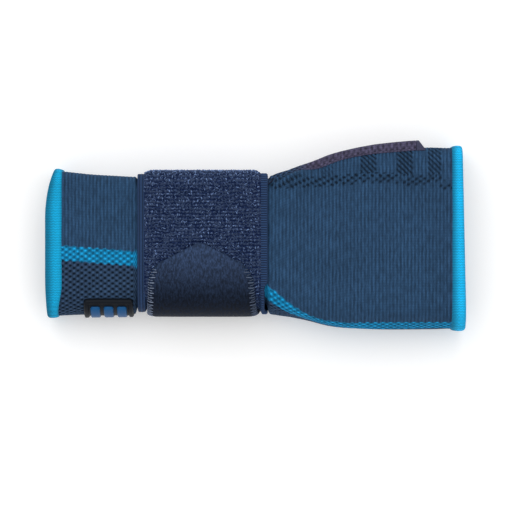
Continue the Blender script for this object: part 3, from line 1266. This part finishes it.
class SPLINT_OT_pile(bpy.types.Operator):
    """Nap the strap's loop pile: an uneven bed with thousands of small yarn loops"""

    bl_idname = "splint.pile"
    bl_label = "Loop pile"

    def execute(self, context):
        c = colours()
        low, high = cad_box("strap_loop_pile")
        ends = low[0] + PILE_REACH[0], high[0] + PILE_REACH[1]
        top = (high[2] - cad_box("strap_band")[1][2]) - 0.4
        x, h, outer = strap_slab(*ends, 0.1, top, 0.9, 118)
        rng = np.random.default_rng(11)
        field = rng.random((90, 260))

        def taper(px):
            """How much of its height the pile has at this distance from its nearer edge."""
            return 0.25 + 0.75 * smoothstep(np.minimum(px - ends[0], ends[1] - px), 0, PILE_TAPER)

        def lumps(px, w):
            """Smooth random unevenness, read between the cells of a random table, from 0 to 1."""
            i, j = (px + 70) / 1.15 % 89, (w + 130) / 1.15 % 259
            i0, j0 = i.astype(int), j.astype(int)
            fi, fj = smoothstep(i - i0, 0, 1), smoothstep(j - j0, 0, 1)
            near = field[i0, j0] * (1 - fj) + field[i0, j0 + 1] * fj
            return near * (1 - fi) + (field[i0 + 1, j0] * (1 - fj) + field[i0 + 1, j0 + 1] * fj) * fi

        def tufts(px, w):
            """Tufts in rows, 0 between them and 1 at their tops, broken up by the lumps."""
            wander = 1.1 * lumps(0.3 * px + 9, 0.3 * w)
            rows = 0.5 + 0.5 * np.cos(2 * math.pi * (w + wander) / TUFT_PITCH)
            columns = 0.5 + 0.5 * np.cos(2 * math.pi * (px + wander) / (TUFT_PITCH * 1.02))
            return np.clip(0.85 * rows * (0.3 + 0.7 * columns) + 0.6 * lumps(px, w) - 0.17, 0, 1)

        def relief(px, w):
            bare = 1 - covered_by_outer(px, w) * 0.9
            pressed = (1 - taper(px)) * (h[None] - 0.1)
            return outer * bare * (0.75 * tufts(px, w) - 0.45) * taper(px) - pressed

        shape = ring_shape()
        girth = half_girth(*shape)
        steps = 600
        w = np.linspace(-girth, girth, steps, endpoint=False)[:, None]
        level = tufts(x[None] + 0 * w, w)
        masks = np.stack([level, level, level], -1)
        material = nap_material("Pile bed", c["pile_dark"], scaled(c["pile_light"], 0.22))
        bed, around = ring_layer("strap_pile_bed", x, h, relief, steps, material, masks)
        loops = self.loops(rng, ends, top, taper, tufts, c)
        for piece in (bed, loops):
            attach(piece, "brace")
            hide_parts("strap_loop_pile")
        return {"FINISHED"}

    def loops(self, rng, ends, top, taper, tufts, c):
        """Yarn loops in jittered rows: each is half a turn of thread that leans its own way."""
        s = sizes()
        shape = ring_shape()
        girth = half_girth(*shape)
        step = s["loop_spacing"]
        px, w = np.meshgrid(np.arange(ends[0] + 0.6, ends[1] - 0.4, step),
                            np.arange(-girth, girth, TUFT_PITCH), indexing="ij")
        px, w = px.ravel(), w.ravel()
        wander = rng.normal(0, 0.30, (2, len(px)))
        px, w = px + wander[0], w + wander[1]
        window_low, window_high = cad_box("strap_anchor_patch")
        y0, z0, _, _ = outline_point(w, *shape)
        sewn = (z0 < window_high[2] + 1) & (y0 > window_low[1] - 1) & (y0 < window_high[1] + 1.5)
        keep = (px > ends[0] + 0.3) & (px < ends[1] - 0.3) & ~covered_by_outer(px, w) & ~sewn
        px, w = px[keep], w[keep]
        lean = rng.normal(0, 0.75, px.shape) + rng.choice([0.0, math.pi / 2], px.shape)
        size = rng.uniform(0.65, 1.15, px.shape)
        turn = np.linspace(0, math.pi, 5)
        reach = 0.55 * size[:, None] * np.cos(turn)[None]
        lift = s["loop_height"] * size[:, None] * np.sin(turn)[None]
        tilt = rng.normal(0, 0.3, (len(px), 1)) * np.sin(turn)[None]
        lx = px[:, None] + reach * np.cos(lean)[:, None] + tilt * np.sin(lean)[:, None]
        lw = w[:, None] + reach * np.sin(lean)[:, None] - tilt * np.cos(lean)[:, None]
        y, z, ny, nz = outline_point(lw, *shape)
        off = 0.1 + (top - 0.35) * taper(lx) + lift * (0.5 + 0.5 * taper(lx))
        lines = np.stack([lx, y + ny * off, z + nz * off], -1)
        palm_edge = 0.3 * smoothstep(y.mean(axis=1), 24, 31)
        shade = 0.6 * rng.random(len(px)) + 0.6 * tufts(px, w)
        shade = np.clip(smoothstep(shade, 0.35, 1.05) + palm_edge, 0, 1)
        shade = np.repeat(shade[:, None], 3, axis=1)
        material = thread_material("Pile loops", scaled(c["pile_dark"], 2.2), c["pile_light"])
        return threads("strap_pile_loops", lines, 0.21, 3, material, {"zones": shade})


# ---------------------------------------------------------------- strap outer layer

OUTER_MIDDLE = 3.625
OUTER_THICK = 2.3
SHOULDER_Y = -14.6
TIP_ROUND = 4.5
SPLIT_W = 17.0
# Finer and finer steps towards the split keep the two halves' shading the same there.
SPLIT_STEPS = np.array([0.25, 0.12, 0.05, 0.02, 0.0])
BORDER = 2.0
DROOP = 1.1
OUTER_POINTS = 72
# Where the tab's bend starts and ends, from its hinge towards the tip.
TAB_BEND = (-0.6, 6.6)


def outer_shape():
    """The outline of the middle of the outer layer, grown from the ring's outline."""
    back, palm, low, high, palm_r, back_r = ring_shape()
    grow = OUTER_MIDDLE
    return back - grow, palm + grow, low - grow, high + grow, palm_r + grow, back_r + grow


def rounded_corner(a, b, c, radius, steps=9):
    """Points of a soft bend in place of the corner b of the line a, b, c, nearly an arc of that radius."""
    a, b, c = (np.array(p, float) for p in (a, b, c))
    u, v = (a - b) / np.linalg.norm(a - b), (c - b) / np.linalg.norm(c - b)
    angle = math.acos(np.clip(u @ v, -1, 1))
    trim = radius / math.tan(angle / 2)
    t = np.linspace(0, 1, steps)[:, None]
    start, end = b + u * trim, b + v * trim
    return (1 - t) ** 2 * start + 2 * t * (1 - t) * (b * 0.75 + (start + end) * 0.125) + t ** 2 * end


def outer_limits():
    """Left and right edge x of the outer layer as functions of w, and where it starts and ends."""
    back, _, low, high, _, back_r = outer_shape()
    tab_low, tab_high = cad_box("strap_tab_cover")
    band_low, band_high = cad_box("strap_return_band")
    flat_start = (high - low) / 2 - back_r + back_r * math.pi / 2

    def at_y(y):
        return flat_start + y - back - back_r

    tip = ((tab_low[0] + tab_high[0]) / 2 - 0.9, at_y(tab_high[1] + 0.75))
    left_line = [(band_low[0], -200.0), (band_low[0], 2.0), (tab_low[0] - 0.3, at_y(-22)),
                 (tab_low[0] + 2.0, at_y(SHOULDER_Y)), tip]
    right_line = [(band_high[0], -200.0), (band_high[0], -12.0), (tab_high[0] + 1.3, 6.0),
                  (tab_high[0] - 0.6, at_y(-22)), (tab_high[0] - 4.0, at_y(SHOULDER_Y)), tip]

    def edge(line, other):
        nose = rounded_corner(line[-2], tip, other[-2], TIP_ROUND, 21)[:11]
        return np.concatenate([line[:-2], rounded_corner(*line[-3:], 8.0), nose])

    left_edge, right_edge = edge(left_line, right_line), edge(right_line, left_line)
    start, end = -at_y(band_high[1]), float(left_edge[-1, 1])

    def left(w):
        return np.interp(w, left_edge[:, 1], left_edge[:, 0])

    def right(w):
        return np.interp(w, right_edge[:, 1], right_edge[:, 0])

    return left, right, start, end


def quarter_circle(share):
    """A rise from 0 to 1 as the share does, straight up at first and level at last."""
    return np.sqrt(np.clip(1 - (1 - np.clip(share, 0, 1)) ** 2, 0, 1))


def droop(x, w, left, right):
    """How far the outer layer's edges hang towards the band below, in mm."""
    inside = np.minimum(x - left(w), right(w) - x)
    return DROOP * (1 - smoothstep(inside, -0.5, 4.5))


def outer_strip(name, w, material, tip=False):
    """A run of the outer layer: a thin slab with soft edges, carried along w round the strap's outline.

    Its edges follow the outline's left and right limits and droop towards the band, its border is sewn
    down a little, and at the tip its thickness closes to a rounded end.
    """
    left, right, _, end = outer_limits()
    shape = outer_shape()
    w = w[:, None]
    xl, xr = left(w), right(w)
    closing = np.maximum(quarter_circle((end - w) / 0.9), math.sqrt(0.02)) if tip else 1.0 + 0 * w
    half = OUTER_THICK / 2 * closing
    t = np.linspace(-1, 1, OUTER_POINTS)[None]
    t = np.sign(t) * (1 - (1 - np.abs(t)) ** 1.25)
    arc = np.linspace(0, math.pi, 9)[1:-1][None]
    width = xr - xl
    round_off = np.minimum(0.9, width * 0.2)
    centre, flat = (xl + xr) / 2, width / 2 - round_off
    border_line = flat + round_off - BORDER
    dip = np.exp(-((np.abs(t) * flat - border_line) / 0.35) ** 2)
    top_off = half + (0.18 * (1 - np.abs(t) ** 6) - 0.2 * dip * (w < end - 12)) * closing * (flat > 3)
    x = np.concatenate([centre + flat * t, centre + flat + round_off * np.sin(arc), centre - flat * t,
                        centre - flat - round_off * np.sin(arc)], axis=1)
    off = np.concatenate([top_off, half * np.cos(arc), -half + 0 * t, -half * np.cos(arc)], axis=1)
    off = off - droop(x, w, left, right) * smoothstep(end - w, 0, 14)
    sections = standing_off(x, w, shape, off)
    inside = np.minimum(x - xl, xr - x)
    border = (1 - smoothstep(inside, BORDER - 0.35, BORDER + 0.15)) * smoothstep(end - w, 12, 13)
    deep = (1 - smoothstep(w, 15, 46)) + 0 * border
    masks = {"zones": np.stack([border, deep, 0 * border], -1)}
    across = np.concatenate([x, x[:, :1]], axis=1)
    uv = np.stack([across, w + 0 * across], -1)
    uv = np.concatenate([uv, uv[-1:]])
    return sweep(name, sections, uv=uv, masks=masks, material=material)


class SPLINT_OT_outer(bpy.types.Operator):
    """Lay the strap's smooth outer layer round the back edge to the pointed tab"""

    bl_idname = "splint.outer"
    bl_label = "Strap outer layer and tab"

    def execute(self, context):
        c = colours()
        left, right, start, end = outer_limits()
        material = brushed_material("Tab fabric", c["tab"], c["web"])
        back_run = np.concatenate([np.linspace(start, SPLIT_W - 0.5, 218), SPLIT_W - SPLIT_STEPS])
        straight = np.concatenate([SPLIT_W + SPLIT_STEPS[::-1], np.linspace(SPLIT_W + 0.5, end - 6.0, 58)])
        nose = end - 6.0 * (1 - np.sin(np.linspace(0, math.pi / 2, 40)))
        tab_run = np.concatenate([straight[:-1], nose])
        back = outer_strip("strap_return_and_side", back_run, material)
        tab = outer_strip("strap_tab", tab_run, material, tip=True)
        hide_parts("strap_return_band", "strap_side_band")
        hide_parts("strap_tab_cover")
        widths = (float(right(0.0) - left(0.0)), float(right(20.0) - left(20.0)))
        bend_side(back)
        bend_tab(tab)
        return {"FINISHED"}


def bend_side(piece):
    """Bends a piece at the side fold: it follows the brace below the hinge and the side band above it."""
    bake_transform(piece)


def bend_tab(piece):
    """Bends a piece at the tab fold, along the strap's slope, from the hinge on so the pile stays clear."""
    y, z = frame["joints"][1]["pos_m"][1:]
    slope = math.radians(20)
    start, end = ((0, y + run * MM * math.cos(slope), z + run * MM * math.sin(slope)) for run in TAB_BEND)
    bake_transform(piece)
    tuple(start)
    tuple(end)


HOOK_PITCH = 1.15


class SPLINT_OT_hook(bpy.types.Operator):
    """Set the hook tape under the tab, with its rows of small hooks"""

    bl_idname = "splint.hook"
    bl_label = "Hook patch"

    def execute(self, context):
        material = solid_material("Hook tape", (0.02, 0.022, 0.03), (0.4, 0.6), grain=2500.0, bump=0.6)
        paint_node("strap_hook_patch", material)
        low, high = cad_box("strap_hook_patch")
        x, y = np.meshgrid(np.arange(low[0] + 1.5, high[0] - 1, HOOK_PITCH),
                           np.arange(low[1] + 1, high[1] - 0.6, HOOK_PITCH), indexing="ij")
        middle = (low[0] + high[0]) / 2
        to_tip = np.clip((y - SHOULDER_Y - 0.5) / (high[1] - SHOULDER_Y - 0.5), 0, 1)
        narrowing = to_tip * (high[0] - middle)
        keep = np.abs(x - middle) < high[0] - middle - narrowing - 1.2
        x, y = x[keep][:, None], y[keep][:, None]
        turn = np.array([0.0, 0.35, 0.75, 1.0, 0.85])[None]
        side = np.array([0.0, 0.0, 0.08, 0.34, 0.55])[None]
        lines = np.stack([x + side, y + 0 * side, low[2] + 0.1 - 0.6 * turn + 0 * x], -1)
        nylon = thread_material("Hook nylon", (0.02, 0.022, 0.03), (0.05, 0.055, 0.07), 0.0)
        hooks = threads("strap_hook_rows", lines, 0.11, 4, nylon, {"zones": np.full((len(x), 3), 0.5)})
        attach(hooks, "strap_tab")
        return {"FINISHED"}


class SPLINT_OT_stitches(bpy.types.Operator):
    """Sew the pale edge stitches beside the tab"""

    bl_idname = "splint.stitches"
    bl_label = "Edge stitches"

    def execute(self, context):
        s = sizes()
        left, right, _, end = outer_limits()
        shape = outer_shape()
        rng = np.random.default_rng(5)
        shoulder = end - 12.5
        pale = thread_material("Pale thread", (0.05, 0.07, 0.12), (0.22, 0.27, 0.38))
        dark = thread_material("Dark thread", (0.02, 0.032, 0.06), (0.09, 0.12, 0.19))
        runs = (("side", 2.5, SPLIT_W - 0.6, bend_side), ("tab", SPLIT_W + 0.6, shoulder, bend_tab))
        t = np.linspace(0, 1, 7)[None]
        for name, edge, inwards, material in (("left", left, 1, pale), ("right", right, -1, dark)):
            for part, first, last, bend in runs:
                w = np.arange(first, last, s["stitch_pitch"])
                long_one = (np.arange(len(w)) % 2 == 0)[:, None]
                slant = np.where(long_one, 0.2, -0.45) + rng.normal(0, 0.12, (len(w), 1))
                wave_w = w[:, None] + slant * (t - 0.5)
                reach = np.where(long_one, 2.9, 2.1) * t - 0.1
                x = edge(wave_w) + inwards * reach
                fall = OUTER_THICK / 2 * quarter_circle(reach / 0.9)
                off = fall + 0.1 - droop(x, wave_w, left, right) * smoothstep(end - wave_w, 0, 14)
                lines = standing_off(x, wave_w, shape, off)
                shade = rng.uniform(0.45, 1.0, (len(w), 1)) * np.where(long_one, 1.0, 0.45)
                piece = threads(f"{name}_edge_stitches_{part}", lines, 0.26, 6, material,
                                {"zones": np.repeat(shade, 3, axis=1)})
                bend(piece)
        return {"FINISHED"}


class SPLINT_OT_patch(bpy.types.Operator):
    """Pad and stitch the patch that fixes the outer layer to the ring, on the underside"""

    bl_idname = "splint.patch"
    bl_label = "Sewn patch"

    def execute(self, context):
        low, high = cad_box("strap_anchor_patch")
        x, h, _ = strap_slab(low[0] + 0.1, high[0] - 0.1, low[2] + 0.05, high[2] - 0.05, 0.6, 24)
        y = np.linspace(low[1] + 0.1, high[1] - 0.1, 30)[:, None]
        sections = np.stack([x[None] + 0 * y, y + 0 * x[None], h[None] + 0 * y], -1)
        material = plain_fabric("Patch web", colours()["web"], 0.55, 0.5, 0.5, 0.12, 0.35)
        patch = sweep("strap_sewn_patch", sections, material=material)
        thread = thread_material("Patch thread", (0.10, 0.13, 0.20), (0.42, 0.48, 0.60))
        count = bpy.context.scene.splint_sizes.stitch_count
        x = np.linspace(low[0] + 2, high[0] - 4, count)
        rows = [low[1] + 2.0, high[1] - 2.0]
        t = np.linspace(0, 1, 6)[None]
        sag = 0.12 - 0.10 * np.sin(math.pi * t) + 0 * x[:, None]
        runs = [np.stack([x[:, None] + 2.1 * t, row + 0 * sag, sag], -1) for row in rows]
        seams = threads("strap_patch_stitches", np.concatenate(runs), 0.18, 6, thread,
                        {"zones": np.full((2 * count, 3), 0.7)})
        for piece in (patch, seams):
            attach(piece, "brace")
        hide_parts("strap_anchor_patch")
        return {"FINISHED"}


# ---------------------------------------------------------------- stage

VIEW_WIDTH = 252.5
VIEW_CENTRE = (-1.6, -8.0)
LENS = 250.0
FILM = 36.0
FOCUS_HEIGHT = 28.0
# Half the floor's side, and the world's brightness.
FLOOR_HALF = 2.5
WORLD_STRENGTH = 0.62
# Area lights: name, place, size and power, in metres and watts.
LAMPS = (("key", (-0.1, 0.55, 1.3), 1.2, 9.0), ("fill", (0.4, -0.25, 1.5), 1.4, 4.0))


def aim(made, target):
    made.rotation_mode = "QUATERNION"
    from_here = np.array(target) - np.array(made.location)
    made.rotation_quaternion = Vector(from_here).to_track_quat("-Z", "Y")


class SPLINT_OT_stage(bpy.types.Operator):
    """Set the pale floor, the soft lights and the camera straight above"""

    bl_idname = "splint.stage"
    bl_label = "Stage"

    def execute(self, context):
        scene = context.scene
        corners = [(FLOOR_HALF * a, FLOOR_HALF * b, 0.0) for a, b in ((-1, -1), (1, -1), (1, 1), (-1, 1))]
        mesh = bpy.data.meshes.new("floor")
        mesh.from_pydata(corners, [], [(0, 1, 2, 3)])
        floor = bpy.data.objects.new("floor", mesh)
        scene.collection.objects.link(floor)
        material, _, shader = new_material("Pale floor", 0.9, specular=0.1)
        shader.inputs["Base Color"].default_value = (0.90, 0.90, 0.90, 1.0)
        shader.inputs["Emission Color"].default_value = (1.0, 1.0, 1.0, 1.0)
        shader.inputs["Emission Strength"].default_value = 0.2
        mesh.materials.append(material)
        world = bpy.data.worlds.new("Studio")
        world.use_nodes = True
        background = world.node_tree.nodes["Background"]
        background.inputs["Color"].default_value = (1.0, 1.0, 1.0, 1.0)
        background.inputs["Strength"].default_value = WORLD_STRENGTH
        scene.world = world
        for name, place, size, power in LAMPS:
            lamp = bpy.data.lights.new(name, "AREA")
            lamp.shape, lamp.size, lamp.energy = "SQUARE", size, power
            made = bpy.data.objects.new(name, lamp)
            made.location = place
            scene.collection.objects.link(made)
            aim(made, (0, 0, 0.02))
        camera = bpy.data.cameras.new("camera")
        camera.lens, camera.sensor_width = LENS, FILM
        distance = VIEW_WIDTH / 2 / (FILM / 2 / LENS)
        camera.clip_start, camera.clip_end = 0.1, 20.0
        made = bpy.data.objects.new("camera", camera)
        made.location = (VIEW_CENTRE[0] * MM, VIEW_CENTRE[1] * MM, (FOCUS_HEIGHT + distance) * MM)
        scene.collection.objects.link(made)
        scene.camera = made
        scene.view_settings.view_transform = "Standard"
        return {"FINISHED"}


class SPLINT_PT_panel(bpy.types.Panel):
    """Lists the splint's pieces and their sizes"""

    bl_idname = "SPLINT_PT_panel"
    bl_label = "Wrist splint"
    bl_space_type = "VIEW_3D"
    bl_region_type = "UI"
    bl_category = "Splint"

    def draw(self, context):
        for held in (context.scene.splint_sizes, context.scene.splint_colours):
            for key in held.__annotations__:
                self.layout.prop(held, key)
        for operator in OPERATORS:
            self.layout.operator(operator.bl_idname)


OPERATORS = (
    SPLINT_OT_stage, SPLINT_OT_sleeve, SPLINT_OT_hems, SPLINT_OT_binding, SPLINT_OT_stay, SPLINT_OT_pocket,
    SPLINT_OT_badge, SPLINT_OT_ring, SPLINT_OT_pile, SPLINT_OT_outer, SPLINT_OT_hook, SPLINT_OT_stitches,
    SPLINT_OT_patch,
)
CLASSES = (SplintSizes, SplintColours, *OPERATORS, SPLINT_PT_panel)


def register():
    for cls in CLASSES:
        bpy.utils.register_class(cls)
    bpy.types.Scene.splint_sizes = PointerProperty(type=SplintSizes)
    bpy.types.Scene.splint_colours = PointerProperty(type=SplintColours)


def unregister():
    del bpy.types.Scene.splint_colours
    del bpy.types.Scene.splint_sizes
    for cls in reversed(CLASSES):
        bpy.utils.unregister_class(cls)


def main():
    register()
    for operator in OPERATORS:
        getattr(bpy.ops.splint, operator.bl_idname.split(".")[1])()


if __name__ == "__main__":
    main()
